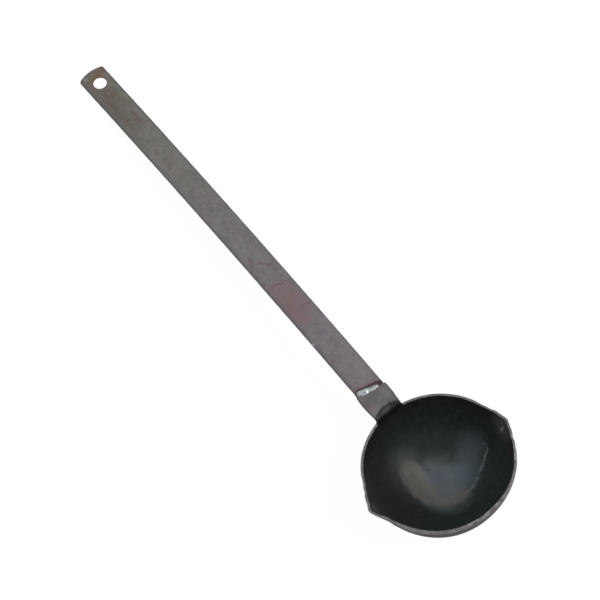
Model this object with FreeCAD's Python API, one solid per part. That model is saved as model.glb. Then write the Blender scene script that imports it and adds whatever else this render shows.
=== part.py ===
"""Pouring ladle for molten lead: a pressed steel bowl with two pouring lips, whose
neck is butt welded to a flat strap handle with a hanging hole.

Millimetres. The ladle is drawn in the bowl's own frame, with the rim in the plane
z = 0, the bowl's axis on z and the handle towards +x. It is then laid down as it rests
on a bench at z = 0: on the round of the bowl and the end of the handle.
"""
import FreeCAD, Part
import math
import os

# Bowl, pressed from one sheet
RIM_RADIUS = 51.0          # outside, at the rim
BOWL_DEPTH = 47.0          # from the rim to the outside of the bottom
WALL = 2.0
RIM_BREAK = 0.5            # the rim's outer corner, worn off

# Pouring lips. Azimuths are degrees about the bowl's axis, from the handle. A lip
# spreads from its nose to a start and an end in the wall.
LIP_DEPTH = 20.0           # below the rim, where a lip runs out into the wall
LIP_DIP = 0.8              # how far a lip's nose lies below the rim
LIPS = (
    {"nose": 85.5, "reach": 5.3, "start": 66.0, "end": 105.0},
    {"nose": -98.0, "reach": 4.3, "start": -118.0, "end": -79.0},
)
LIP_SHARPNESS = 1.4        # 1 for straight flanks, more for hollow ones
LIP_SECTIONS = 5           # on each side of a nose
LIP_POINTS = 6             # down each side of a section

# Neck, bent out of the bowl's wall and flat from the bend to the weld
NECK_ROOTED = 5.0          # how far the neck is drawn down inside the wall
NECK_STAND = 0.3           # height of the wall above the rim, before the bend
NECK_BEND = 2.7            # radius under the bend
NECK_RISE = 18.5           # degrees above the rim plane
NECK_ROOT_WIDTH = 21.4     # at the rim
NECK_MID_WIDTH = 22.8
NECK_END_WIDTH = 22.0      # at the weld

# Handle, a flat strap with a slight bow
HANDLE_LENGTH = 305.0      # from the weld to the tip
HANDLE_WIDTH = 20.6
HANDLE_THICKNESS = 2.5
HANDLE_BOW = 2230.0        # radius, hollow side down
HANDLE_EDGE_BREAK = 0.4    # its edges, broken by a small chamfer
TIP_ARC = 24.0             # radius of the rounded end
TIP_CORNERS = {-1: 0.8, 1: 2.4}    # radius of its corner on each side
HOLE_DIAMETER = 9.6
HOLE_FROM_TIP = 11.9
HOLE_ASIDE = -0.6          # off the handle's centreline

# Butt weld between neck and handle
WELD_REACH = 68.0          # from the bowl's axis
WELD_GAP = 1.6
WELD_SKEW = 10.0           # degrees off square, in plan
BEAD_SHORT = 0.9           # how far the bead stops short of the handle's edges
BEAD = (                   # place along the weld, width and crown above the strap
    (-1.0, 2.6, 0.2),
    (0.4, 5.4, 0.95),
    (1.0, 3.8, 0.5),
)

FINE = 0.001               # of a step along a curve, and of a join between surfaces
OVERSIZE = 60.0            # of the tools that trim a piece
ORIGIN = FreeCAD.Vector(0, 0, 0)
UP = FreeCAD.Vector(0, 0, 1)
SIDEWAYS = FreeCAD.Vector(0, 1, 0)


def point(radius, height, azimuth=0.0):
    """A point at a radius from the bowl's axis and a height, at an azimuth."""
    angle = math.radians(azimuth)
    return FreeCAD.Vector(radius * math.cos(angle), radius * math.sin(angle), height)


def heading(degrees):
    """A unit vector in the plane y = 0, by its angle up from +x."""
    angle = math.radians(degrees)
    return FreeCAD.Vector(math.cos(angle), 0, math.sin(angle))


def arc(centre, radius, start, end):
    """An arc in the plane y = 0, from one angle to another."""
    return Part.Arc(centre + heading(start) * radius,
                    centre + heading((start + end) / 2) * radius,
                    centre + heading(end) * radius).toShape()


def block(corner, along, across, sizes):
    """A box with its corner and two of its directions given."""
    box = Part.makeBox(*sizes)
    third = along.cross(across)
    box.Placement = FreeCAD.Placement(corner, FreeCAD.Rotation(along, across, third, "XYZ"))
    return box


# The bowl's outside is a ball's cap that runs through the rim.
BALL_RADIUS = (RIM_RADIUS ** 2 + BOWL_DEPTH ** 2) / (2 * BOWL_DEPTH)
BALL_CENTRE = point(0, BALL_RADIUS - BOWL_DEPTH)


def wall_angle(height, inset):
    """Angle on the wall's arc at a height, with inset 0 outside and WALL inside."""
    return math.degrees(math.asin((height - BALL_CENTRE.z) / (BALL_RADIUS - inset)))


def wall_radius(height, inset):
    """Radius of the wall about the bowl's axis, at a height."""
    return (BALL_RADIUS - inset) * math.cos(math.radians(wall_angle(height, inset)))


def wall_point(height, inset, azimuth, lip=None, swell=0.0):
    """A point on the side wall at an azimuth, pushed out and down by a lip."""
    push = swell * (1 + height / LIP_DEPTH) ** 2
    reach = lip["reach"] * push if lip else 0.0
    return point(wall_radius(height, inset) + reach, height - LIP_DIP * push, azimuth)


def rim_edges(azimuth, lip=None, swell=0.0):
    """The top of the wall at an azimuth: the broken outer corner and the level rim."""
    outer = wall_point(-RIM_BREAK, 0, azimuth, lip, swell)
    inner = wall_point(0, WALL, azimuth, lip, swell)
    edge = wall_point(0, 0, azimuth, lip, swell) - point(RIM_BREAK, 0, azimuth)
    return [Part.makeLine(outer, edge), Part.makeLine(edge, inner)]


def lip_section(lip, azimuth):
    """The upper wall's section at an azimuth, pushed outwards by the lip."""
    foot = lip["end"] if azimuth > lip["nose"] else lip["start"]
    share = (azimuth - lip["nose"]) / (foot - lip["nose"])
    swell = (1 - share) ** LIP_SHARPNESS

    def side(inset, drop):
        rise = (LIP_DEPTH - drop) / (LIP_POINTS - 1)
        points = [wall_point(-LIP_DEPTH + rise * step, inset, azimuth, lip, swell)
                  for step in range(LIP_POINTS)]
        curve = Part.BSplineCurve()
        curve.interpolate(points)
        return curve.toShape(), points[0]

    outer, outer_low = side(0, RIM_BREAK)
    inner, inner_low = side(WALL, 0)
    return Part.Wire([outer, *rim_edges(azimuth, lip, swell), inner,
                      Part.makeLine(inner_low, outer_low)])


def lip_body(lip):
    """A lip and the stretch of wall it is drawn from, lofted between sections."""
    shares = [step / LIP_SECTIONS for step in range(LIP_SECTIONS)]
    azimuths = [lip["start"] + (lip["nose"] - lip["start"]) * share for share in shares]
    azimuths += [lip["nose"] + (lip["end"] - lip["nose"]) * share for share in shares]
    sections = [lip_section(lip, azimuth) for azimuth in azimuths + [lip["end"]]]
    return Part.makeLoft(sections, True, False)


def lip_sector(lip):
    """The part of the plain wall that a lip takes the place of."""
    inside, outside = RIM_RADIUS / 2, RIM_RADIUS * 2
    corners = [point(inside, -LIP_DEPTH, lip["start"]), point(outside, -LIP_DEPTH, lip["start"]),
               point(outside, LIP_DEPTH, lip["start"]), point(inside, LIP_DEPTH, lip["start"])]
    face = Part.Face(Part.makePolygon(corners + corners[:1]))
    return face.revolve(ORIGIN, UP, lip["end"] - lip["start"])


# The neck's line in side view: the wall's slope at the rim, a bend, then straight.
BEND_ANGLE = wall_angle(NECK_STAND, 0)
BEND_CENTRE = BALL_CENTRE + heading(BEND_ANGLE) * (BALL_RADIUS + NECK_BEND)
STRAIGHT_START = BEND_CENTRE + heading(NECK_RISE + 90) * (NECK_BEND + WALL / 2)
RUN_TO_WELD = (WELD_REACH - STRAIGHT_START.x) / math.cos(math.radians(NECK_RISE))
WELD_CENTRE = STRAIGHT_START + heading(NECK_RISE) * RUN_TO_WELD

# Directions at the weld: along the strap, square to its face, and along and across
# the skewed weld itself.
STRAP_WAY = heading(NECK_RISE)
STRAP_NORMAL = heading(NECK_RISE + 90)
SKEW = math.radians(WELD_SKEW)
WELD_WAY = SIDEWAYS * math.cos(SKEW) + STRAP_WAY * math.sin(SKEW)
WELD_ACROSS = STRAP_WAY * math.cos(SKEW) - SIDEWAYS * math.sin(SKEW)

# The handle's bow in side view, and its tip
BOW_CENTRE = WELD_CENTRE - STRAP_NORMAL * HANDLE_BOW
TIP_ANGLE = NECK_RISE + 90 - math.degrees(HANDLE_LENGTH / HANDLE_BOW)
TIP = BOW_CENTRE + heading(TIP_ANGLE) * HANDLE_BOW
TIP_WAY = heading(TIP_ANGLE - 90)
TIP_NORMAL = heading(TIP_ANGLE)
HOLE_ANGLE = TIP_ANGLE + math.degrees(HOLE_FROM_TIP / HANDLE_BOW)
HOLE_WAY = heading(HOLE_ANGLE)
HOLE_CENTRE = BOW_CENTRE + HOLE_WAY * HANDLE_BOW + SIDEWAYS * HOLE_ASIDE


def beyond_weld(way):
    """A tool that trims a piece at the weld: all past the neck's end for way 1, and
    all short of the handle's end for way -1."""
    end = WELD_CENTRE - WELD_ACROSS * (way * WELD_GAP / 2)
    corner = end - WELD_WAY * (way * OVERSIZE) - STRAP_NORMAL * OVERSIZE
    return block(corner, WELD_ACROSS * way, WELD_WAY * way,
                 (OVERSIZE, 2 * OVERSIZE, 2 * OVERSIZE))


def turned_bowl(top_edges, outer_top, inner_top):
    """A bowl turned from its section, with its two walls joined by edges at the top."""
    bottom = point(0, -BOWL_DEPTH)
    edges = [
        arc(BALL_CENTRE, BALL_RADIUS, -90, outer_top),
        *top_edges,
        arc(BALL_CENTRE, BALL_RADIUS - WALL, inner_top, -90),
        Part.makeLine(bottom + UP * WALL, bottom),
    ]
    section = Part.Face(Part.Wire(edges))
    section.rotate(ORIGIN, UP, 180)
    return section.revolve(ORIGIN, UP, 360)


def plain_bowl():
    """The bowl without lips or neck."""
    return turned_bowl(rim_edges(0), wall_angle(-RIM_BREAK, 0), wall_angle(0, WALL))


def flanged_bowl():
    """The bowl with its wall carried on past the rim and bent out all round."""
    under = STRAIGHT_START - STRAP_NORMAL * (WALL / 2)
    top = STRAIGHT_START + STRAP_NORMAL * (WALL / 2)
    reach = STRAP_WAY * (RUN_TO_WELD + HANDLE_WIDTH)
    flange = [
        arc(BEND_CENTRE, NECK_BEND, BEND_ANGLE + 180, NECK_RISE + 90),
        Part.makeLine(under, under + reach),
        Part.makeLine(under + reach, top + reach),
        Part.makeLine(top + reach, top),
        arc(BEND_CENTRE, NECK_BEND + WALL, NECK_RISE + 90, BEND_ANGLE + 180),
    ]
    return turned_bowl(flange, BEND_ANGLE, BEND_ANGLE)


def neck_outline():
    """A tool with the neck's outline in plan, which swells a little towards its middle."""
    inside = RIM_RADIUS / 2
    far = WELD_REACH + HANDLE_WIDTH
    middle = (RIM_RADIUS + WELD_REACH) / 2

    def at(x, width, side):
        return FreeCAD.Vector(x, side * width / 2, -NECK_ROOTED)

    def side_edges(side):
        root = at(RIM_RADIUS, NECK_ROOT_WIDTH, side)
        end = at(WELD_REACH, NECK_END_WIDTH, side)
        swell = Part.Arc(root, at(middle, NECK_MID_WIDTH, side), end).toShape()
        return [Part.makeLine(at(inside, NECK_ROOT_WIDTH, side), root), swell,
                Part.makeLine(end, at(far, NECK_END_WIDTH, side))]

    edges = side_edges(-1)
    edges.append(Part.makeLine(at(far, NECK_END_WIDTH, -1), at(far, NECK_END_WIDTH, 1)))
    edges += side_edges(1)[::-1]
    edges.append(Part.makeLine(at(inside, NECK_ROOT_WIDTH, 1), at(inside, NECK_ROOT_WIDTH, -1)))
    outline = Part.Face(Part.Wire(Part.__sortEdges__(edges)))
    return outline.extrude(UP * OVERSIZE)


def make_bowl():
    """The whole pressing: bowl, lips and neck."""
    bowl = plain_bowl()
    for lip in LIPS:
        bowl = bowl.cut(lip_sector(lip)).fuse([lip_body(lip)], FINE)
    outline = neck_outline()
    neck = flanged_bowl().common(outline).cut(beyond_weld(1))
    return bowl.cut(outline).fuse(neck).removeSplitter()


def handle_outline():
    """A tool with the strap's outline in plan, square to its face at the tip."""
    half = HANDLE_WIDTH / 2
    sag = TIP_ARC - math.sqrt(TIP_ARC ** 2 - half ** 2)
    root = -HANDLE_LENGTH - OVERSIZE
    corners = [(root, -half), (-sag, -half), (0, 0), (-sag, half), (root, half)]
    places = [TIP + TIP_WAY * x + SIDEWAYS * y - TIP_NORMAL * OVERSIZE for x, y in corners]
    edges = [Part.makeLine(places[0], places[1]),
             Part.Arc(places[1], places[2], places[3]).toShape(),
             Part.makeLine(places[3], places[4]), Part.makeLine(places[4], places[0])]
    tool = Part.Face(Part.Wire(edges)).extrude(TIP_NORMAL * (2 * OVERSIZE))
    for side, radius in TIP_CORNERS.items():
        upright = [edge for edge in tool.Edges if abs(edge.Length - 2 * OVERSIZE) < FINE
                   and (edge.Vertexes[0].Point - TIP).dot(TIP_WAY) > -half
                   and edge.Vertexes[0].Y * side > half - FINE]
        tool = tool.makeFillet(radius, upright)
    return tool


def make_handle():
    """The flat strap: bowed, rounded at its end and bored for hanging."""
    half = HANDLE_THICKNESS / 2
    start = NECK_RISE + 90 + math.degrees(HANDLE_WIDTH / HANDLE_BOW)
    end = TIP_ANGLE - math.degrees(HANDLE_WIDTH / HANDLE_BOW)
    inner, outer = HANDLE_BOW - half, HANDLE_BOW + half
    edges = [arc(BOW_CENTRE, outer, start, end),
             Part.makeLine(BOW_CENTRE + heading(end) * outer, BOW_CENTRE + heading(end) * inner),
             arc(BOW_CENTRE, inner, end, start),
             Part.makeLine(BOW_CENTRE + heading(start) * inner,
                           BOW_CENTRE + heading(start) * outer)]
    bar = Part.Face(Part.Wire(edges))
    bar.translate(SIDEWAYS * -HANDLE_WIDTH)
    strap = bar.extrude(SIDEWAYS * (2 * HANDLE_WIDTH)).common(handle_outline())
    broad = sorted(strap.Faces, key=lambda face: face.Area)[-2:]
    strap = strap.makeChamfer(HANDLE_EDGE_BREAK, broad[0].Edges + broad[1].Edges)
    hole = Part.makeCylinder(HOLE_DIAMETER / 2, 2 * OVERSIZE,
                             HOLE_CENTRE - HOLE_WAY * OVERSIZE, HOLE_WAY)
    return strap.cut(hole).cut(beyond_weld(-1))


def bead_section(place, width, crown):
    """The bead's section, at a share of its half length along the weld: two arcs that
    stand up above and below the strap, and spring from within its thickness."""
    half_length = HANDLE_WIDTH / 2 - BEAD_SHORT
    centre = WELD_CENTRE + WELD_WAY * (place * half_length)
    side = WELD_ACROSS * (width / 2)
    spring = STRAP_NORMAL * (WALL / 4)
    top = STRAP_NORMAL * (HANDLE_THICKNESS / 2 + crown)
    return Part.Wire([
        Part.Arc(centre - side + spring, centre + top, centre + side + spring).toShape(),
        Part.makeLine(centre + side + spring, centre + side - spring),
        Part.Arc(centre + side - spring, centre - top, centre - side - spring).toShape(),
        Part.makeLine(centre - side - spring, centre - side + spring),
    ])


def make_weld(bowl, handle):
    """The weld bead: it fills the gap and stands up in a crown above and below."""
    bead = Part.makeLoft([bead_section(*section) for section in BEAD], True, True)
    return bead.cut(bowl).cut(handle)


def rest_angle():
    """How far the ladle tips back, in degrees, to rest on its bowl and its tip.

    Seen from the side, the bench is the line that touches the round of the bowl and
    the broken lower edge of the tip.
    """
    lowest = TIP - TIP_WAY * HANDLE_EDGE_BREAK - TIP_NORMAL * (HANDLE_THICKNESS / 2)
    apart = lowest - BALL_CENTRE
    distance = math.hypot(apart.x, apart.z)
    return math.degrees(math.atan2(apart.z, apart.x) + math.asin(BALL_RADIUS / distance))


def lay_down(shapes):
    """Tip the ladle back onto the bench, with the middle of its length over the origin."""
    angle = rest_angle()
    turn = FreeCAD.Rotation(SIDEWAYS, angle)
    lift = BALL_RADIUS - turn.multVec(BALL_CENTRE).z
    for shape in shapes:
        shape.rotate(ORIGIN, SIDEWAYS, angle)
        shape.translate(UP * lift)
    length = Part.makeCompound(shapes).optimalBoundingBox(False, False)
    for shape in shapes:
        shape.translate(FreeCAD.Vector(-length.Center.x, 0, 0))
    hole = turn.multVec(HOLE_CENTRE) + FreeCAD.Vector(-length.Center.x, 0, lift)
    print(f"tipped back {angle:.3f} degrees, lifted {lift:.3f}, moved {-length.Center.x:.3f}")
    print("hole centre", tuple(round(value, 3) for value in hole),
          "axis", tuple(round(value, 5) for value in turn.multVec(HOLE_WAY)))


if __name__ == "__main__":
    bowl = make_bowl()
    handle = make_handle()
    ladle = {"bowl": bowl, "handle": handle, "weld_bead": make_weld(bowl, handle)}
    lay_down(list(ladle.values()))
    os.makedirs("parts", exist_ok=True)
    for node, shape in ladle.items():
        shape.Solids[0].exportStep(f"parts/{node}.step")
        print(node, len(shape.Solids), "solid,", round(shape.Volume / 1000, 2), "cm3")
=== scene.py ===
"""Looks for the pouring ladle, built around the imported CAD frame.

Metres, but for the places and sizes of marks, which are in millimetres. The ladle lies on
the bench z = 0, with its handle along +x. The bowl's material speaks of places in the bowl's
own frame: rim plane z = 0, axis on z, handle towards +x. Left and right are +y and -y, and
far is away from the handle. Colours are linear RGB.
"""

import math

import bmesh
import bpy
from mathutils import Matrix, Vector, noise


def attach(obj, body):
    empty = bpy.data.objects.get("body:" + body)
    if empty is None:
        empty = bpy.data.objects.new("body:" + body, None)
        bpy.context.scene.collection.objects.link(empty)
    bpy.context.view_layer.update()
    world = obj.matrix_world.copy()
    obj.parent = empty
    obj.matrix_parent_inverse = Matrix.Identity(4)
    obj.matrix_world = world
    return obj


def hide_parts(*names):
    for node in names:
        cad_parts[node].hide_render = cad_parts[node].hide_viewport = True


MM = 0.001
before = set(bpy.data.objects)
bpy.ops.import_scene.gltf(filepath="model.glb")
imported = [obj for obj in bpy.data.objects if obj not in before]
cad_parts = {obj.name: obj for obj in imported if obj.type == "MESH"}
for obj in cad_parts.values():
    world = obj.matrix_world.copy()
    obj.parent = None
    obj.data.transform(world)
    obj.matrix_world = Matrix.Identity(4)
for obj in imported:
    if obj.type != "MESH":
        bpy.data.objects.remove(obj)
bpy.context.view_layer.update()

# The ladle at rest, as the CAD model has it
BOWL_TILT = math.radians(20.357)        # how far the bowl tips back, towards the handle
RIM_CENTRE = Vector((-160.222, 0, 47.260)) * MM
BOWL_TO_REST = Matrix.Translation(RIM_CENTRE) @ Matrix.Rotation(BOWL_TILT, 4, "Y")
REST_TO_BOWL = BOWL_TO_REST.inverted()
BALL_CENTRE = Vector((0, 0, 4.17)) * MM  # of the bowl's round, in the bowl's own frame
HOLE_CENTRE = Vector((198.1, -0.6, 3.1)) * MM
WELD_CENTRE = Vector((-93.3, 0, 0))     # mm
WELD_ALONG = Vector((0.174, 0.985, 0))  # the joint runs 10 degrees off square
WELD_ACROSS = Vector((WELD_ALONG.y, -WELD_ALONG.x, 0))
STRAP_END = (-94.5, 33.1)               # x and z of the upper face's end, in mm
STRAP_FALL = 0.033                      # slope of the upper face there

# Camera and light
CAMERA_AIM = Vector((-14.92, -5.91, 20.0)) * MM
CAMERA_DISTANCE = 1360.7 * MM
CAMERA_AZIMUTH = 126.70                 # degrees
CAMERA_ELEVATION = 74.28
CAMERA_ROLL = 14.10
CAMERA_LENS = 120.0
CAMERA_SENSOR = 36.0
LAMP_AIM = Vector((-0.05, 0, 0.02))
WORLD_LIGHT = 0.75
FLOOR_HALF = 3.0
FLOOR_GREY = (0.8, 0.8, 0.8, 1)
FLOOR_GLOW = 1.05                       # what the camera sees of the floor is a white glow
FLOOR_GLOW_SHARE = 0.9                  # to this share, and the rest shows its shadow

# The bowl is pressed a little out of round. Each swell of its wall is a place round the rim
# from the handle and a spread, in degrees, and a height in mm.
SWELLS = ((-132, 48, 1.15), (-119, 12, 0.4), (-108, 9, 0.3), (-88, 10, 0.7),
          (-79, 9, 0.35), (150, 30, 0.25), (91, 8, 0.75), (73, 11, 0.4))
SWELL_TOP = 3 * MM                      # the neck, above this, keeps its shape
SWELL_FULL = 12 * MM                    # a swell is full down to this depth below the rim
SWELL_FADE = 24 * MM                    # and dies out over this height below that
LIP_ENDS = (-118, -79, 66, 105)         # where the lips run out into the rim, in degrees
LIP_END_SPREAD = 7
LIP_END_DEPTH = 9 * MM
LIP_EASINGS = 14

# The ridge of weld metal on the joint, in mm
RIDGE_STEPS, RIDGE_RIBS = 40, 12
RIDGE_LEFT, RIDGE_RIGHT = 9.1, -6.2     # its ends along y
RIDGE_STRAP_EDGE = (-92.2, 0.36)        # x of its edge at y = 0, and how x grows with y
RIDGE_BOWL_EDGE = (-95.8, 0.144)
RIDGE_WAVE, RIDGE_WAVE_SIZE = 0.7, 2.6
RIDGE_LUMP, RIDGE_LUMP_SIZE = 0.5, 1.7
RIDGE_HEIGHT = 0.85
RIDGE_SET, RIDGE_ROOT = 0.1, 0.7        # depths of its arch's feet and of its root

# The sunken scale that fills the joint, in mm
FILLER_HALF_LENGTH, FILLER_HALF_WIDTH = 10.25, 1.0
FILLER_BOTTOM, FILLER_TOP = -2.3, -0.2  # from the strap's upper face


# ---------------------------------------------------------------- camera, light, floor
def place_camera():
    """A long lens, looking steeply down from the bowl's side."""
    azimuth, elevation = math.radians(CAMERA_AZIMUTH), math.radians(CAMERA_ELEVATION)
    back = Vector((math.cos(azimuth) * math.cos(elevation),
                   math.sin(azimuth) * math.cos(elevation), math.sin(elevation)))
    level = Vector((0, 0, 1)).cross(back).normalized()
    right = Matrix.Rotation(math.radians(CAMERA_ROLL), 3, back) @ level
    up = back.cross(right)
    data = bpy.data.cameras.new("camera")
    data.lens = CAMERA_LENS
    data.sensor_width = CAMERA_SENSOR
    camera = bpy.data.objects.new("camera", data)
    turn = Matrix((right, up, back)).transposed().to_4x4()
    camera.matrix_world = Matrix.Translation(CAMERA_AIM + back * CAMERA_DISTANCE) @ turn
    bpy.context.scene.collection.objects.link(camera)
    bpy.context.scene.camera = camera


def place_lamp(name, position, size, power):
    """A soft square lamp that faces the ladle."""
    data = bpy.data.lights.new(name, "AREA")
    data.shape = "SQUARE"
    data.size = size
    data.energy = power
    lamp = bpy.data.objects.new(name, data)
    lamp.location = position
    lamp.rotation_euler = (Vector(position) - LAMP_AIM).to_track_quat("Z", "Y").to_euler()
    bpy.context.scene.collection.objects.link(lamp)


def seen_rays(nodes, links):
    """1 for the rays that look at a thing: from the camera, in a gloss or through glass."""
    path = nodes.new("ShaderNodeLightPath")
    seen = path.outputs["Is Camera Ray"]
    for way in ("Is Glossy Ray", "Is Transmission Ray"):
        larger = nodes.new("ShaderNodeMath")
        larger.operation = "MAXIMUM"
        links.new(seen, larger.inputs[0])
        links.new(path.outputs[way], larger.inputs[1])
        seen = larger.outputs[0]
    return seen


def place_world():
    """Even pale light, with plain white behind the object and in its reflections."""
    world = bpy.data.worlds.new("studio")
    world.use_nodes = True
    bpy.context.scene.world = world
    nodes, links = world.node_tree.nodes, world.node_tree.links
    nodes.clear()
    output = nodes.new("ShaderNodeOutputWorld")
    light = nodes.new("ShaderNodeBackground")
    light.inputs["Strength"].default_value = WORLD_LIGHT
    white = nodes.new("ShaderNodeBackground")
    mix = nodes.new("ShaderNodeMixShader")
    links.new(seen_rays(nodes, links), mix.inputs[0])
    links.new(light.outputs[0], mix.inputs[1])
    links.new(white.outputs[0], mix.inputs[2])
    links.new(mix.outputs[0], output.inputs["Surface"])


def place_floor():
    """A plain pale bench top, white to the camera but for the ladle's soft shadow."""
    mesh = bpy.data.meshes.new("floor")
    corners = [(x * FLOOR_HALF, y * FLOOR_HALF, 0)
               for x, y in ((-1, -1), (1, -1), (1, 1), (-1, 1))]
    mesh.from_pydata(corners, [], [(0, 1, 2, 3)])
    floor = bpy.data.objects.new("floor", mesh)
    bpy.context.scene.collection.objects.link(floor)
    material = bpy.data.materials.new("floor_white")
    material.use_nodes = True
    nodes, links = material.node_tree.nodes, material.node_tree.links
    nodes.clear()
    output = nodes.new("ShaderNodeOutputMaterial")
    matt = nodes.new("ShaderNodeBsdfDiffuse")
    matt.inputs["Color"].default_value = FLOOR_GREY
    glow = nodes.new("ShaderNodeEmission")
    glow.inputs["Strength"].default_value = FLOOR_GLOW
    share = nodes.new("ShaderNodeMath")
    share.operation = "MULTIPLY"
    share.inputs[1].default_value = FLOOR_GLOW_SHARE
    mix = nodes.new("ShaderNodeMixShader")
    links.new(seen_rays(nodes, links), share.inputs[0])
    links.new(share.outputs[0], mix.inputs[0])
    links.new(matt.outputs[0], mix.inputs[1])
    links.new(glow.outputs[0], mix.inputs[2])
    links.new(mix.outputs[0], output.inputs["Surface"])
    mesh.materials.append(material)


# ---------------------------------------------------------------------- shader helpers
class Shader:
    """A material under construction: short calls that add nodes and wire them up."""

    def __init__(self, name, origin=(0, 0, 0), tilt=0.0):
        """Places are read in a frame with this origin, tipped about y by the tilt."""
        self.material = bpy.data.materials.new(name)
        self.material.use_nodes = True
        self.nodes = self.material.node_tree.nodes
        self.links = self.material.node_tree.links
        self.nodes.clear()
        texture = self.nodes.new("ShaderNodeTexCoord")
        self.place = self.in_frame(texture.outputs["Object"], origin, tilt)
        self.normal = self.in_frame(texture.outputs["Normal"], (0, 0, 0), tilt)
        self.x, self.y, self.z = self.split(self.place)

    def in_frame(self, vector, origin, tilt):
        """A vector as the frame with this origin and tilt has it."""
        mapping = self.nodes.new("ShaderNodeMapping")
        mapping.vector_type = "TEXTURE"
        mapping.inputs["Location"].default_value = origin
        mapping.inputs["Rotation"].default_value = (0, tilt, 0)
        self.links.new(vector, mapping.inputs["Vector"])
        return mapping.outputs[0]

    def wire(self, value, socket):
        """Feed a socket from another socket, or set it to a number or colour."""
        if isinstance(value, bpy.types.NodeSocket):
            self.links.new(value, socket)
        elif isinstance(value, (tuple, list)) and len(value) == 3 and socket.type == "RGBA":
            socket.default_value = (*value, 1)
        else:
            socket.default_value = value

    def math(self, operation, first, second=0.0, third=0.0, clamp=False):
        """One sum on numbers or sockets."""
        node = self.nodes.new("ShaderNodeMath")
        node.operation = operation
        node.use_clamp = clamp
        for value, socket in zip((first, second, third), node.inputs):
            self.wire(value, socket)
        return node.outputs[0]

    def vector_math(self, operation, first, second=(0, 0, 0), scale=None):
        """One sum on vectors; it gives a vector, a length or a product."""
        node = self.nodes.new("ShaderNodeVectorMath")
        node.operation = operation
        self.wire(first, node.inputs[0])
        self.wire(second, node.inputs[1])
        if scale is not None:
            self.wire(scale, node.inputs["Scale"])
        return node.outputs["Value" if operation in ("DOT_PRODUCT", "LENGTH", "DISTANCE")
                            else "Vector"]

    def split(self, vector):
        """The x, y and z of a vector."""
        node = self.nodes.new("ShaderNodeSeparateXYZ")
        self.wire(vector, node.inputs[0])
        return node.outputs

    def noise(self, size, detail=3.0, stretch=(1, 1, 1), roughness=0.55, shift=0.0):
        """Cloudy noise with lumps of about a size, stretched along the axes."""
        mapping = self.nodes.new("ShaderNodeMapping")
        self.wire(self.place, mapping.inputs["Vector"])
        mapping.inputs["Location"].default_value = (shift, shift, shift)
        mapping.inputs["Scale"].default_value = [1 / (size * way) for way in stretch]
        node = self.nodes.new("ShaderNodeTexNoise")
        self.wire(mapping.outputs[0], node.inputs["Vector"])
        node.inputs["Scale"].default_value = 1.0
        node.inputs["Detail"].default_value = detail
        node.inputs["Roughness"].default_value = roughness
        return node.outputs["Fac"]

    def step(self, value, low, high, bottom=0.0, top=1.0):
        """A smooth step of a value from bottom at low to top at high."""
        node = self.nodes.new("ShaderNodeMapRange")
        node.interpolation_type = "SMOOTHSTEP"
        self.wire(value, node.inputs["Value"])
        node.inputs["From Min"].default_value = low
        node.inputs["From Max"].default_value = high
        node.inputs["To Min"].default_value = bottom
        node.inputs["To Max"].default_value = top
        return node.outputs["Result"]

    def spread(self, value, width, middle=0.0):
        """A value from 0 to 1, spread over a width around a middle."""
        return self.math("MULTIPLY_ADD", value, width, middle - width / 2)

    def flipped(self, value):
        """0 for 1 and 1 for 0."""
        return self.math("SUBTRACT", 1.0, value)

    def off_axis(self, amount=0.0, size=3 * MM):
        """Distance from the plane y = 0, made uneven by noise."""
        return self.ragged(self.math("ABSOLUTE", self.y), amount, size)

    def ragged(self, distance, amount, size):
        """A distance made uneven by noise."""
        if not amount:
            return distance
        lumps = self.math("SUBTRACT", self.noise(size), 0.5)
        return self.math("MULTIPLY_ADD", lumps, amount * 2, distance)

    def spot(self, centre, radius, soft, amount=0.0, size=3.0, wide=(1, 1, 1)):
        """1 inside a ball, fading over a soft edge that noise may make ragged. All in mm."""
        away = self.vector_math("SUBTRACT", self.place, Vector(centre) * MM)
        away = self.vector_math("DIVIDE", away, wide)
        distance = self.ragged(self.vector_math("LENGTH", away), amount * MM, size * MM)
        return self.step(distance, radius * MM, (radius + soft) * MM, 1.0, 0.0)

    def stroke(self, points, half, soft, amount=0.0, size=2.0):
        """1 along a line through points, fading over a soft edge. All in mm."""
        nearest = None
        for first, last in zip(points, points[1:]):
            first, last = Vector(first) * MM, Vector(last) * MM
            along = last - first
            away = self.vector_math("SUBTRACT", self.place, first)
            share = self.math("MULTIPLY", self.vector_math("DOT_PRODUCT", away, along),
                              1 / along.length_squared, clamp=True)
            foot = self.vector_math("SCALE", along, scale=share)
            distance = self.vector_math("DISTANCE", away, foot)
            nearest = (distance if nearest is None
                       else self.math("MINIMUM", nearest, distance))
        nearest = self.ragged(nearest, amount * MM, size * MM)
        return self.step(nearest, half * MM, (half + soft) * MM, 1.0, 0.0)

    def times(self, *values):
        """The product of all the values: a mask where all the masks hold."""
        product = values[0]
        for value in values[1:]:
            product = self.math("MULTIPLY", product, value)
        return product

    def largest(self, *values):
        """The largest of the values: a mask where any of the masks holds."""
        largest = values[0]
        for value in values[1:]:
            largest = self.math("MAXIMUM", largest, value)
        return largest

    def mix(self, share, first, second, blend="MIX"):
        """A colour between two others."""
        node = self.nodes.new("ShaderNodeMix")
        node.data_type = "RGBA"
        node.blend_type = blend
        self.wire(share, node.inputs[0])
        self.wire(first, node.inputs[6])
        self.wire(second, node.inputs[7])
        return node.outputs[2]

    def coat(self, under, over, *masks):
        """A colour with another laid over it, as far as all the masks let it."""
        return self.mix(self.times(*masks), under, over)

    def shaded(self, colour, shade):
        """A colour made lighter or darker by a factor."""
        return self.mix(1.0, colour, shade, "MULTIPLY")

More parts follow.
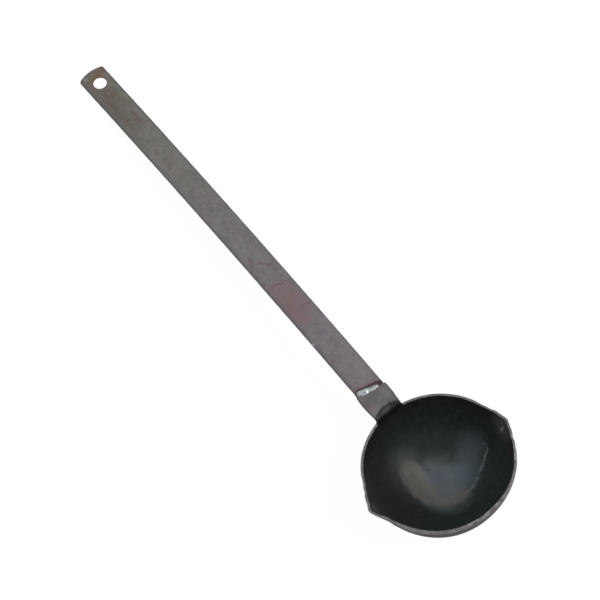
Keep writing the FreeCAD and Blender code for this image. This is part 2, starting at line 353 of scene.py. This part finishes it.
    def lerp(self, share, first, second):
        """A number between two others."""
        node = self.nodes.new("ShaderNodeMix")
        node.data_type = "FLOAT"
        self.wire(share, node.inputs[0])
        self.wire(first, node.inputs[2])
        self.wire(second, node.inputs[3])
        return node.outputs[0]

    def finish(self, colour, metallic, roughness, height, relief, specular=0.5):
        """Join everything in a Principled surface; relief is the height's depth in metres."""
        output = self.nodes.new("ShaderNodeOutputMaterial")
        surface = self.nodes.new("ShaderNodeBsdfPrincipled")
        self.wire(colour, surface.inputs["Base Color"])
        self.wire(metallic, surface.inputs["Metallic"])
        self.wire(roughness, surface.inputs["Roughness"])
        surface.inputs["Specular IOR Level"].default_value = specular
        bump = self.nodes.new("ShaderNodeBump")
        bump.inputs["Strength"].default_value = 1.0
        bump.inputs["Distance"].default_value = relief
        self.wire(height, bump.inputs["Height"])
        self.links.new(bump.outputs[0], surface.inputs["Normal"])
        self.links.new(surface.outputs[0], output.inputs["Surface"])
        return self.material


# --------------------------------------------------------------------------- materials
# The strap's mill scale, from the bowl to the tip, and its tints
MAUVE_SCALE, GREY_SCALE, OLIVE_SCALE = (
    (0.176, 0.160, 0.174), (0.170, 0.165, 0.153), (0.160, 0.158, 0.133))
ROSY_TINT, GREEN_TINT = (0.186, 0.150, 0.168), (0.150, 0.166, 0.156)
BLUE_HEAT, PURPLE_HEAT = (0.14, 0.135, 0.175), (0.185, 0.145, 0.16)
PINK_HEAT, PINK_HEART, BROWN_HEAT = (
    (0.188, 0.124, 0.138), (0.196, 0.112, 0.126), (0.185, 0.118, 0.09))
DARK_RED, DARK_SPOT = (0.11, 0.05, 0.045), (0.07, 0.058, 0.075)
DULL_TIP = (0.112, 0.103, 0.086)
THIN_RUST, BROWN_RUST, ORANGE_RUST, END_RUST = (
    (0.105, 0.085, 0.07), (0.125, 0.08, 0.06), (0.16, 0.075, 0.024), (0.15, 0.085, 0.055))
EDGE_BLACK, EDGE_BLUE = (0.05, 0.047, 0.05), (0.085, 0.085, 0.1)
TIP_NICK, EDGE_NICK = (0.27, 0.26, 0.22), (0.36, 0.33, 0.31)
# weld burnt and shade: burnt scale with painted shade in the crevice beside the weld
WELD_RED, WELD_BURNT_AND_SHADE = (0.165, 0.082, 0.078), (0.045, 0.018, 0.017)

# The bowl's inside
BLUE_BLACK, BROWN_BLACK, BLACK, TEAL_BLACK = (
    (0.016, 0.0205, 0.0215), (0.024, 0.022, 0.019), (0.016, 0.0155, 0.016),
    (0.023, 0.035, 0.034))
# painted reflection of the light on the bowl's floor, tinted by heat colours
FLOOR_REFLECTION_GREY, FLOOR_REFLECTION_TEAL, FLOOR_REFLECTION_SLATE, FLOOR_REFLECTION_BLUE = (
    (0.112, 0.128, 0.135), (0.046, 0.074, 0.09), (0.052, 0.062, 0.07), (0.085, 0.103, 0.13))
# tan is residue; the second colour is a painted highlight on it
TAN, TAN_HIGHLIGHT = (0.134, 0.128, 0.116), (0.165, 0.163, 0.155)
TIDE_GREY, CURL_GREY, SCRATCH_BLACK = (
    (0.14, 0.145, 0.145), (0.12, 0.125, 0.125), (0.025, 0.03, 0.032))
# the white here is painted highlights in the lips' grooves
OLIVE_GRIME, THROAT_GREY, LIP_HIGHLIGHT = (
    (0.034, 0.033, 0.028), (0.062, 0.061, 0.054), (0.26, 0.26, 0.245))

# The bowl's outside, neck and rim
SCALE_GREY, SCALE_SOOT, SCALE_WORN = (
    (0.05, 0.049, 0.048), (0.04, 0.039, 0.039), (0.095, 0.093, 0.091))
NECK_DARK, NECK_PALE, NECK_WORN = (
    (0.112, 0.105, 0.114), (0.150, 0.139, 0.149), (0.182, 0.17, 0.18))
NECK_RED, NECK_EDGE = (0.15, 0.092, 0.102), (0.045, 0.042, 0.045)
# the crest: painted shade where the neck turns over into the inner wall, with a painted lit
# patch
CREST_PAINTED_SHADE, CREST_PAINTED_LIGHT = (0.008, 0.0078, 0.008), (0.036, 0.034, 0.035)
# rim highlight and rim shade: a painted highlight on the rim's corner and painted shade just
# below it
BARE_DARK, BARE_PALE, RIM_HIGHLIGHT, RIM_SHADE = (
    (0.128, 0.128, 0.124), (0.19, 0.189, 0.183), (0.34, 0.34, 0.325), (0.05, 0.049, 0.047))

# The weld, with a painted highlight on the bead and painted shade in the joint's crevice
BEAD_DULL, BEAD_PALE, BEAD_HIGHLIGHT, BEAD_GREY, JOINT_BURNT_AND_SHADE = (
    (0.235, 0.27, 0.285), (0.43, 0.465, 0.475), (0.5, 0.57, 0.58), (0.17, 0.18, 0.19),
    (0.05, 0.021, 0.019))

# The dark line beside the weld, rust and painted crevice shade: x where y = 0, and how x grows
# with y
DARK_LINE_X, DARK_LINE_LEAN = -91.7 * MM, 0.34


def weld_offset(s, amount, size):
    """How far a place lies on the handle's side of the ragged dark line beside the weld."""
    line = s.math("MULTIPLY_ADD", s.y, DARK_LINE_LEAN, DARK_LINE_X)
    return s.ragged(s.math("SUBTRACT", s.x, line), amount, size)


def strap_scale(s, cloud, mottle, grain, drawn):
    """Grey scale: mauve towards the bowl and olive towards the tip, with faint tints."""
    colour = s.mix(s.step(s.x, -60 * MM, 110 * MM), MAUVE_SCALE, GREY_SCALE)
    colour = s.coat(colour, OLIVE_SCALE, s.step(s.x, 120 * MM, 190 * MM))
    tint = s.noise(2.4 * MM, 2.0, shift=9.0)
    colour = s.coat(colour, ROSY_TINT, s.step(tint, 0.4, 0.62, 0.0, 0.3))
    colour = s.coat(colour, GREEN_TINT, s.step(tint, 0.5, 0.3, 0.0, 0.3))
    shade = s.math("ADD", s.step(cloud, 0.3, 0.7, 0.86, 1.08), s.spread(grain, 0.24))
    shade = s.math("ADD", shade, s.spread(drawn, 0.2))
    shade = s.math("ADD", shade, s.step(mottle, 0.3, 0.7, -0.1, 0.1))
    return s.shaded(colour, shade)


def heat_marks(s, colour, cloud, patch, mottle):
    """Bluish and purplish tints towards the bowl, and a pink patch with a brown heart."""
    near_bowl = s.step(s.x, 15 * MM, -15 * MM)
    colour = s.coat(colour, BLUE_HEAT, near_bowl, s.step(patch, 0.5, 0.72), 0.5)
    colour = s.coat(colour, PURPLE_HEAT, near_bowl, s.step(cloud, 0.52, 0.7), 0.35)
    pink = s.spot((-15, 2, 28.5), 6, 10, 6, 4, (1.7, 0.9, 1))
    heart = s.spot((-22, 4.5, 29.8), 2, 6, 4, 3, (1.8, 0.8, 1))
    brown = s.stroke([(-8, -3.8, 28.7), (-12.5, 1.4, 29), (-15.5, 6, 29.2)], 0.3, 2.6, 2.4)
    fleck = s.step(mottle, 0.3, 0.65, 0.45, 0.85)
    colour = s.coat(colour, PINK_HEAT, pink, fleck)
    colour = s.coat(colour, PINK_HEART, heart, fleck, 0.6)
    return s.coat(colour, BROWN_HEAT, brown, fleck, 0.6)


def red_lines(s):
    """Thin dark red lines across the strap, and small red spots."""
    return s.largest(
        s.stroke([(1.3, 5.2, 28), (2.1, 1.5, 28), (0.4, -1.5, 28), (0.6, -4.5, 28.1),
                  (-0.6, -8.5, 28.1)], 0.1, 0.9, 0.9),
        s.times(s.stroke([(-20.2, -1.2, 29.5), (-20.4, -4, 29.5), (-22, -7.8, 29.6)],
                         0.1, 0.9, 0.9), 0.8),
        s.times(s.stroke([(27, 4, 26), (24, 5, 26.3), (19, 8.8, 26.5)], 0.3, 2.0, 1.6), 0.75),
        s.times(s.stroke([(22, 0.8, 26.4), (19.4, -1, 26.5), (16, -5, 26.8)], 0.2, 1.3, 1.2),
                0.8),
        s.spot((7.3, 8, 27.5), 0.4, 2.0, 1.2), s.spot((14, 9.4, 27), 0.4, 2.0, 1.0),
        s.times(s.spot((-62.8, 5.5, 31.9), 0.3, 2.6, 1.4), 0.6),
        s.times(s.stroke([(117, 1.6, 16.8), (114, 3.6, 17.2)], 0.1, 1.6, 1.0), 0.8),
        s.times(s.stroke([(132, 2.4, 14.5), (128.5, 3.6, 15)], 0.2, 1.6, 1.0), 0.8),
        s.spot((-36, 9.8, 30), 0.5, 1.8, 0.8))


def dark_spots(s):
    """A few small dark stains along the strap."""
    return s.largest(s.spot((172.3, 7, 8.5), 0.4, 0.8), s.spot((10.5, -4.8, 27.3), 0.1, 2, 1),
                     s.spot((5, -5.2, 27.7), 0.1, 2, 1), s.spot((-68.8, -6.7, 32.1), 0.2, 0.9))


def tip_rust(s, colour, cloud, round_hole):
    """A duller left side, brown blotches towards the tip, and orange round the hole."""
    dull_side = s.step(s.ragged(s.y, 1.2 * MM, 6 * MM), -5 * MM, 5 * MM)
    colour = s.coat(colour, DULL_TIP, s.step(s.x, 130 * MM, 172 * MM), dull_side, 0.6)
    tip = s.times(s.step(s.x, 146 * MM, 160 * MM), s.step(s.x, 198 * MM, 184 * MM),
                  s.step(s.off_axis(), 3.5 * MM, 7.5 * MM, 1.0, 0.0))
    blotch = s.noise(2.6 * MM, 3.0, stretch=(2.2, 1, 1), shift=7.0)
    colour = s.coat(colour, THIN_RUST, tip, s.step(cloud, 0.35, 0.6), 0.3)
    colour = s.coat(colour, BROWN_RUST, tip, s.step(blotch, 0.42, 0.68), 0.75)
    tipward = s.step(s.math("ADD", s.x, s.times(s.y, 0.35)), 195 * MM, 203 * MM)
    colour = s.coat(colour, ORANGE_RUST, round_hole, s.lerp(tipward, 0.3, 0.9))
    end = s.times(s.step(s.x, 201 * MM, 204 * MM), s.step(s.x, 209.5 * MM, 206.5 * MM),
                  s.step(s.ragged(s.y, 2 * MM, 2 * MM), 2 * MM, -4 * MM))
    colour = s.coat(colour, END_RUST, end, 0.7)
    return s.coat(colour, TIP_NICK, s.spot((206.3, 5.6, 2.9), 0.8, 1.4, 0.4), 0.6)


def strap_edges(s, colour):
    """Darkened long edges, more so at the left and towards the tip."""
    edge = s.step(s.off_axis(0.7 * MM), 8.2 * MM, 10.2 * MM)
    left = s.math("MAXIMUM", s.step(s.y, -2 * MM, 2 * MM, 0.35, 0.62),
                  s.step(s.x, 100 * MM, 150 * MM, 0.0, 0.7))
    colour = s.coat(colour, EDGE_BLACK, edge, left)
    left_edge = s.step(s.ragged(s.y, 1.2 * MM, 5 * MM), 5.5 * MM, 9.5 * MM)
    colour = s.coat(colour, EDGE_BLUE, left_edge, s.step(s.x, 60 * MM, -40 * MM, 0.1, 0.4))
    return s.coat(colour, EDGE_NICK, s.spot((-46.2, 9.6, 31.1), 0.5, 0.9), 0.8)


def strap_steel():
    """Dull grey mill scale, with rust at the hole and red heat marks near the bowl."""
    s = Shader("strap_steel")
    cloud = s.noise(9 * MM, 4.0)
    patch = s.noise(4 * MM, 3.0, shift=3.0)
    mottle = s.noise(1.7 * MM, 3.0, stretch=(1.6, 1, 1), shift=2.0)
    grain = s.noise(0.7 * MM, 2.0)
    drawn = s.noise(0.5 * MM, 2.0, stretch=(30, 1, 1))
    lines = red_lines(s)
    hole = s.ragged(s.vector_math("DISTANCE", s.place, HOLE_CENTRE), 1.0 * MM, 2 * MM)
    round_hole = s.step(hole, 5.0 * MM, 7.6 * MM, 1.0, 0.0)

    colour = strap_scale(s, cloud, mottle, grain, drawn)
    colour = heat_marks(s, colour, cloud, patch, mottle)
    colour = s.coat(colour, DARK_RED, lines, 0.62)
    colour = s.coat(colour, DARK_SPOT, dark_spots(s), 0.5)
    colour = tip_rust(s, colour, cloud, round_hole)
    colour = strap_edges(s, colour)

    # red scale where the weld's heat bit into the end, and black burnt scale with painted
    # shade in the crevice at the strap's end face
    off = weld_offset(s, 0.5 * MM, 1.5 * MM)
    right = s.step(s.y, 4 * MM, -8 * MM)
    red = s.times(s.step(off, 4.6 * MM, 0.8 * MM), s.lerp(right, 0.6, 0.45))
    burn_and_shade = s.math("SUBTRACT", off, s.times(right, 1.2 * MM))
    colour = s.coat(colour, WELD_RED, red)
    colour = s.coat(colour, WELD_BURNT_AND_SHADE, s.step(burn_and_shade, 1.4 * MM, 0.2 * MM),
                    s.step(s.y, 10 * MM, 6 * MM, 0.3))

    rust = s.largest(s.times(lines, 0.7), s.times(round_hole, 0.8), red)
    roughness = s.math("MAXIMUM", s.step(cloud, 0.3, 0.7, 0.46, 0.6), s.times(rust, 0.8))
    return s.finish(colour, metallic=s.lerp(rust, 0.45, 0.1), roughness=roughness,
                    height=s.math("ADD", grain, drawn), relief=0.03 * MM)


def bowl_oxide(s, patch):
    """Black oxide: teal low on the far side, brown at the left, and plain near the rim."""
    dark = s.mix(s.step(s.y, 10 * MM, 34 * MM), BLUE_BLACK, BROWN_BLACK)
    dark = s.coat(dark, BLACK, s.step(s.z, -18 * MM, -4 * MM))
    dark = s.coat(dark, TEAL_BLACK, s.step(s.x, 5 * MM, -25 * MM),
                  s.step(s.z, -6 * MM, -24 * MM), 0.8)
    return s.shaded(dark, s.step(patch, 0.3, 0.7, 0.8, 1.2))


def tan_scale(s):
    """Where tan residue lies on the bowl's floor, in an arc round its left side."""
    return s.largest(
        s.stroke([(24, 9, -37.5), (16, 12.5, -40.5), (6, 11, -43.5)], 3, 6.5, 4.5, 5),
        s.stroke([(6, 11, -43.5), (-4, 7, -45), (-10.5, 0, -45), (-11.5, -8, -43.5)],
                 1, 6, 3, 4))


def floor_reflection_and_residue(s, inside, patch, tan):
    """The bowl's floor: a painted blue-grey reflection of the light, tinted by heat colours,
    tan scale with a painted highlight to the left, grey beyond.
    """
    # painted reflection of the light from above on the floor, bluer to the right with heat
    # colours
    middle = s.spot((3, -2, -45.5), 8, 16, 5, 8, (1.2, 1, 1))
    right = s.spot((-2, -19, -42), 5, 10, 4, 6, (1, 1.1, 1))
    rightmost_reflection = s.spot((6, -31, -32.5), 4, 12, 4, 5, (1, 1.1, 1.3))
    # a painted highlight along the floor's tan residue
    highlight_stroke = s.stroke([(24, 4.5, -38), (15, 5, -42.5), (4, 7, -45), (-6, 6, -45.5),
                     (-9.5, -1, -45.2)], 0.4, 5, 3, 3)
    blue_reflection = s.spot((9, -5, -45), 3, 7, 3, 4, (1.2, 0.9, 1))
    inside = s.coat(inside, FLOOR_REFLECTION_GREY, middle)
    inside = s.coat(inside, FLOOR_REFLECTION_TEAL, right, 0.7)
    inside = s.coat(inside, FLOOR_REFLECTION_SLATE, rightmost_reflection, 0.8)
    inside = s.coat(inside, TAN, tan, s.step(patch, 0.2, 0.65, 0.65, 1.0))
    inside = s.coat(inside, TAN_HIGHLIGHT, highlight_stroke, 0.55)
    return s.coat(inside, FLOOR_REFLECTION_BLUE, blue_reflection, 0.75)


def bowl_inside(s, patch, grain, tan):
    """Black oxide with a painted reflection and tan residue on its floor, a pale tide line,
    olive grime and paler lips with painted highlights.
    """
    inside = floor_reflection_and_residue(s, bowl_oxide(s, patch), patch, tan)
    tide = s.largest(
        s.stroke([(-4, -37, -28), (-7, -30.5, -34), (-8.5, -26, -37)], 0.5, 1.3, 1.2, 2),
        s.stroke([(-10, -23.5, -38.4), (-11.5, -20, -39.8), (-13, -14, -41.5),
                  (-11, -7, -43.7), (-8, 1.5, -44.8)], 0.4, 1.3, 1.2, 2))
    curl = s.stroke([(-4, -37, -28), (-1, -38.5, -26), (1.5, -37.5, -27)], 0.2, 1.2, 0.9)
    scratch = s.stroke([(20, 0.5, -41), (16.5, -2.8, -42.5)], 0.1, 0.9, 0.4)
    inside = s.coat(inside, TIDE_GREY, tide, s.step(patch, 0.3, 0.6, 0.3, 0.75))
    inside = s.coat(inside, CURL_GREY, curl, 0.4)
    inside = s.coat(inside, SCRATCH_BLACK, scratch, 0.6)

    # olive grime below the far and left rim, the lips' lighter throats, and painted highlights
    # in the lips' grooves
    far_or_left = s.largest(s.step(s.x, -12 * MM, -34 * MM), s.step(s.y, 30 * MM, 44 * MM))
    throats = s.largest(s.spot((-9, -49, -6), 3, 8, 2, 3, (1.4, 1, 1)),
                        s.spot((4, 50, -5), 2, 5, 2, 3))
    lip_highlights = s.largest(s.spot((-8.0, -48.2, -7.5), 0.7, 1.2, 0.5, 1.2, (1, 1.4, 1.8)),
                       s.spot((4.3, 50.5, -4.2), 0.5, 1.0, 0.5, 1.2))
    inside = s.coat(inside, OLIVE_GRIME, s.step(s.z, -24 * MM, -6 * MM), far_or_left, 0.8)
    inside = s.coat(inside, THROAT_GREY, throats, 0.8)
    inside = s.coat(inside, LIP_HIGHLIGHT, lip_highlights, 0.7)
    return s.shaded(inside, s.spread(grain, 0.3, 1.0))


def bowl_outside(s, cloud, grain):
    """Dark heat scale, grey under the neck and sooty towards the bottom."""
    grey = s.mix(s.step(s.z, -8 * MM, -36 * MM), SCALE_GREY, SCALE_SOOT)
    worn = s.step(s.noise(5 * MM, 5.0, shift=5.0), 0.55, 0.72, 0.0, 0.5)
    shade = s.math("ADD", s.step(cloud, 0.3, 0.7, 0.86, 1.14), s.spread(grain, 0.3))
    return s.shaded(s.coat(grey, SCALE_WORN, worn), shade)


def neck_scale(s, cloud, grain):
    """The neck's grey scale, paler in places, with a red end and dark edges."""
    grey = s.mix(s.step(cloud, 0.4, 0.62), NECK_DARK, NECK_PALE)
    paler = s.largest(s.spot((54.3, 4.5, 5.3), 1, 4, 2, 3, (1, 1.8, 1)),
                      s.times(s.spot((58, -7.3, 6.7), 1, 3, 1.5, 3, (1.6, 1, 1)), 0.7))
    grey = s.coat(grey, NECK_WORN, paler, 0.6)
    grey = s.coat(grey, NECK_RED, s.spot((58.6, 8.2, 6.9), 0.5, 3.2, 1.5), 0.55)
    grey = s.shaded(grey, s.spread(grain, 0.3, 1.0))
    edge = s.step(s.off_axis(0.4 * MM), 9.4 * MM, 11 * MM)
    return s.coat(grey, NECK_EDGE, edge, 0.5)


def bare_rim(s, patch, grain):
    """Bare steel, mottled, with painted highlights along the rim's corner and painted shade
    just below it on the far side.
    """
    bare = s.mix(s.step(patch, 0.35, 0.65), BARE_DARK, BARE_PALE)
    bare = s.shaded(bare, s.spread(grain, 0.4, 1.0))
    # painted highlights along the rim's corner, and painted shade just below it
    rim_highlights = s.largest(
        s.stroke([(-49.4, 2, 0), (-49, -7, 0), (-47.4, -13.5, 0)], 0.25, 0.5, 0.3),
        s.stroke([(-47.5, 15.5, -0.2), (-49.2, 8, -0.2)], 0.2, 0.5, 0.3),
        s.stroke([(-34, -38.2, -0.3), (-26, -43.5, -0.3)], 0.4, 0.6, 0.3))
    rim_shade_marks = s.largest(s.spot((-50.6, -4, -0.6), 0.6, 1.0, 0.5, 1, (1, 3, 1)),
                        s.spot((-48.9, -12, -0.6), 0.5, 0.8, 0.5, 1, (1, 2.5, 1)),
                        s.spot((-49.6, 11, -0.8), 0.5, 0.9, 0.5, 1, (1, 3, 1)))
    bare = s.coat(bare, RIM_HIGHLIGHT, rim_highlights, 0.8)
    return s.coat(bare, RIM_SHADE, rim_shade_marks, 0.75)


def bowl_steel():
    """Black oxide inside with pale residue and a painted reflection on its floor, a bare worn
    rim, and a grey neck with painted shade where it turns into the bowl.
    """
    s = Shader("bowl_steel", RIM_CENTRE, BOWL_TILT)
    cloud = s.noise(9 * MM, 4.0)
    patch = s.noise(4 * MM, 3.0, shift=3.0)
    grain = s.noise(0.7 * MM, 2.0)
    tan = tan_scale(s)
    bare = bare_rim(s, patch, grain)

    # where each of them lies: a face looks inward when it turns to the ball's centre
    outward = s.vector_math("SUBTRACT", s.place, BALL_CENTRE)
    inward = s.step(s.vector_math("DOT_PRODUCT", outward, s.normal), 0.004, -0.004)
    beside_neck = s.step(s.off_axis(), 10.6 * MM, 11.8 * MM, 1.0, 0.0)
    arched = s.math("MULTIPLY_ADD", s.times(s.y, s.y), 27.0, s.x)
    neck = s.times(s.step(s.ragged(arched, 1.0 * MM, 2.5 * MM), 52.4 * MM, 54.6 * MM),
                   beside_neck)
    crest = s.times(s.step(s.x, 40 * MM, 46 * MM), beside_neck,
                    s.step(s.z, -4 * MM, -2 * MM))
    upward = s.step(s.split(s.normal)[2], 0.35, 0.75)
    rim = s.times(s.step(s.z, -1.6 * MM, -0.9 * MM), upward, s.flipped(crest))
    below_rim = s.step(s.ragged(s.z, 0.6 * MM, 4 * MM), -3.4 * MM, -1.2 * MM)

    colour = s.mix(inward, bowl_outside(s, cloud, grain), bowl_inside(s, patch, grain, tan))
    colour = s.coat(colour, bare, below_rim, s.flipped(inward))
    # painted shade over the crest, with a painted lit patch where its bend catches the light
    lit = s.spot((50.8, 0.5, 3.6), 0.6, 2.8, 1.5, 2, (1, 1.7, 1))
    colour = s.coat(colour, s.mix(lit, CREST_PAINTED_SHADE, CREST_PAINTED_LIGHT), crest)
    colour = s.coat(colour, neck_scale(s, cloud, grain), neck)
    colour = s.coat(colour, bare, rim)

    metal = s.largest(neck, rim, s.step(s.z, -4 * MM, -1.5 * MM))
    metal = s.times(metal, s.flipped(inward), s.flipped(s.times(crest, s.flipped(neck))))
    roughness = s.lerp(inward, s.lerp(metal, 0.75, 0.5), s.lerp(tan, 0.42, 0.7))
    metallic = s.lerp(inward, s.times(metal, 0.45), 0.25)
    return s.finish(colour, metallic, roughness, height=s.math("ADD", grain, cloud),
                    relief=0.04 * MM, specular=0.3)


def weld_metal():
    """Bright bare metal, a little blue, with a painted highlight, and burnt red scale with
    painted shade in the joint around it.
    """
    s = Shader("weld_metal")
    cloud = s.noise(3.0 * MM, 3.0)
    grain = s.noise(0.5 * MM, 2.0)
    colour = s.mix(s.step(cloud, 0.36, 0.64), BEAD_DULL, BEAD_PALE)
    # a painted highlight on the bead
    colour = s.coat(colour, BEAD_HIGHLIGHT, s.spot((-93.6, 2.2, 34), 0.5, 1.8, 0.5, 1.0))
    colour = s.coat(colour, BEAD_GREY, s.step(s.y, 6.5 * MM, 9 * MM), 0.5)
    # painted shade with burnt scale in the crevice by the dark line, at the bead's right end
    # and on the sunken filler
    burnt_and_shade = s.largest(s.step(weld_offset(s, 0.3 * MM, 1.2 * MM), -0.9 * MM, -0.2 * MM),
                      s.step(s.y, -5.4 * MM, -6.6 * MM),
                      s.step(s.z, 33.15 * MM, 32.9 * MM))
    colour = s.coat(colour, JOINT_BURNT_AND_SHADE, burnt_and_shade)
    return s.finish(colour, metallic=s.lerp(burnt_and_shade, 0.6, 0.1),
                    roughness=s.lerp(burnt_and_shade, 0.35, 0.8), height=grain, relief=0.06 * MM)


# ------------------------------------------------------------------------------ pieces
def cad_copy(node):
    """A node's mesh, with its facets joined up."""
    skin = bmesh.new()
    skin.from_mesh(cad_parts[node].data)
    bmesh.ops.remove_doubles(skin, verts=skin.verts, dist=0.001 * MM)
    return skin


def clamp(value):
    """A number kept between 0 and 1."""
    return min(1.0, max(0.0, value))


def dense_piece(name, skin, voxel, smoothing):
    """A fine even skin over a solid, with its edges worn a little round."""
    mesh = bpy.data.meshes.new(name)
    skin.to_mesh(mesh)
    skin.free()
    piece = bpy.data.objects.new(name, mesh)
    bpy.context.scene.collection.objects.link(piece)
    remesh = piece.modifiers.new("skin", "REMESH")
    remesh.mode = "VOXEL"
    remesh.voxel_size = voxel
    smooth = piece.modifiers.new("worn", "SMOOTH")
    smooth.factor = 0.5
    smooth.iterations = smoothing
    bpy.context.view_layer.update()
    shaped = bpy.data.meshes.new_from_object(
        piece.evaluated_get(bpy.context.evaluated_depsgraph_get()))
    piece.modifiers.clear()
    piece.data = shaped
    bpy.data.meshes.remove(mesh)
    shaped.name = name
    shaped.shade_smooth()
    return piece


def roughen(piece, depth, size, where=None):
    """Press hollows into a skin, no deeper than a depth; it never grows."""
    mesh = piece.data
    normals = [vertex.normal.copy() for vertex in mesh.vertices]
    for vertex, normal in zip(mesh.vertices, normals):
        share = 1.0 if where is None else where(vertex.co)
        if share > 0:
            lump = 0.5 + 0.5 * noise.noise(vertex.co / size)
            vertex.co -= normal * (depth * share * clamp(lump))


def round_rim(spot):
    """A place round the rim, in degrees from the handle."""
    return math.degrees(math.atan2(spot.y, spot.x))


def swell_at(turn):
    """How far the wall swells out at a place round the rim, in mm."""
    out = 0.0
    for centre, spread, height in SWELLS:
        off = abs((turn - centre + 180) % 360 - 180)
        if off < spread:
            out += height * math.cos(math.pi / 2 * off / spread) ** 2
    return out


def swell_bowl(piece):
    """Press the bowl's wall out of round, fully at the rim and not at all low down."""
    for vertex in piece.data.vertices:
        spot = REST_TO_BOWL @ vertex.co
        depth = clamp(1 + (spot.z + SWELL_FULL) / SWELL_FADE)
        if depth == 0 or spot.z > SWELL_TOP:
            continue
        out = swell_at(round_rim(spot))
        reach = math.hypot(spot.x, spot.y)
        if out and reach:
            grow = 1 + out * MM * depth / reach
            spot.x *= grow
            spot.y *= grow
            vertex.co = BOWL_TO_REST @ spot


def ease_lips(piece):
    """Smooth the wall where the lips run out into the rim."""
    skin = bmesh.new()
    skin.from_mesh(piece.data)
    ends = []
    for vertex in skin.verts:
        spot = REST_TO_BOWL @ vertex.co
        off = min(abs(round_rim(spot) - end) for end in LIP_ENDS)
        if spot.z > -LIP_END_DEPTH and off < LIP_END_SPREAD:
            ends.append(vertex)
    for _ in range(LIP_EASINGS):
        bmesh.ops.smooth_vert(skin, verts=ends, factor=0.5, use_axis_x=True, use_axis_y=True,
                              use_axis_z=True)
    skin.to_mesh(piece.data)
    skin.free()


def finish_piece(piece, node, material):
    """Give a piece its look, hide the CAD node it stands for, and hang it under the root body.
    """
    piece.data.materials.clear()
    piece.data.materials.append(material)
    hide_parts(node)
    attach(piece, "root")


def strap_edge(point):
    """1 at the strap's two long edges, fading inwards."""
    return clamp((abs(point.y) - 9.0 * MM) / (1.2 * MM))


def strap_top(x):
    """Height of the strap's upper face beside the weld, in mm."""
    end, height = STRAP_END
    return height - STRAP_FALL * (x - end)


def ridge_row(skin, y, ease):
    """One arched rib of the ridge across the joint, with its root sunk in the strap."""
    wave = RIDGE_WAVE * noise.noise(Vector((y, 0, 0)) / RIDGE_WAVE_SIZE)
    high = RIDGE_STRAP_EDGE[0] + RIDGE_STRAP_EDGE[1] * y + wave
    low = RIDGE_BOWL_EDGE[0] + RIDGE_BOWL_EDGE[1] * y + wave / 2
    middle, half = (high + low) / 2, (high - low) / 2 * ease ** 0.5
    places = []
    for j in range(RIDGE_RIBS + 1):
        angle = math.pi * j / RIDGE_RIBS
        x = middle + half * math.cos(angle)
        lump = 1 + RIDGE_LUMP * noise.noise(Vector((x, y, 0)) / RIDGE_LUMP_SIZE)
        rise = RIDGE_HEIGHT * ease * lump * math.sin(angle)
        places.append((x, y, strap_top(x) - RIDGE_SET + rise))
    for x in (middle - half, middle + half):
        places.append((x, y, strap_top(x) - RIDGE_ROOT))
    return [skin.verts.new(Vector(place) * MM) for place in places]


def add_ridge(skin):
    """The bright bead that stands on the joint. It is broad at the left, thin at the right,
    and lower towards both ends."""
    rows = []
    for i in range(RIDGE_STEPS + 1):
        y = RIDGE_LEFT + (RIDGE_RIGHT - RIDGE_LEFT) * i / RIDGE_STEPS
        ease = min(1.0, 0.2 + 5 * i / RIDGE_STEPS,
                   0.15 + 4 * (RIDGE_STEPS - i) / RIDGE_STEPS)
        rows.append(ridge_row(skin, y, ease))
    for first, second in zip(rows, rows[1:]):
        for j in range(len(first)):
            k = (j + 1) % len(first)
            skin.faces.new((first[j], first[k], second[k], second[j]))
    skin.faces.new(rows[0][::-1])
    skin.faces.new(rows[-1])


def add_filler(skin):
    """The sunken scale that closes the joint across the strap's whole width."""
    corners = []
    for side in (-1, 1):
        for way, level in ((-1, FILLER_BOTTOM), (1, FILLER_BOTTOM), (1, FILLER_TOP),
                           (-1, FILLER_TOP)):
            spot = (WELD_CENTRE + WELD_ALONG * (side * FILLER_HALF_LENGTH)
                    + WELD_ACROSS * (way * FILLER_HALF_WIDTH))
            spot.z = strap_top(spot.x) + level
            corners.append(skin.verts.new(spot * MM))
    for ring in ((3, 2, 1, 0), (4, 5, 6, 7), (0, 1, 5, 4), (1, 2, 6, 5), (2, 3, 7, 6),
                 (3, 0, 4, 7)):
        skin.faces.new([corners[i] for i in ring])


place_camera()
place_world()
place_floor()
place_lamp("key", position=(-0.9, -0.9, 1.4), size=0.9, power=12.0)
place_lamp("fill", position=(0.9, 0.9, 1.3), size=1.2, power=6.0)

bowl = dense_piece("bowl_skin", cad_copy("bowl"), voxel=0.7 * MM, smoothing=3)
swell_bowl(bowl)
ease_lips(bowl)
finish_piece(bowl, "bowl", bowl_steel())

strap = dense_piece("strap_skin", cad_copy("handle"), voxel=0.45 * MM, smoothing=3)
roughen(strap, depth=0.18 * MM, size=5 * MM, where=strap_edge)
roughen(strap, depth=0.05 * MM, size=12 * MM)
finish_piece(strap, "handle", strap_steel())

weld = cad_copy("weld_bead")
add_ridge(weld)
add_filler(weld)
bead = dense_piece("bead_skin", weld, voxel=0.16 * MM, smoothing=2)
finish_piece(bead, "weld_bead", weld_metal())

bpy.context.scene.view_settings.view_transform = "Standard"
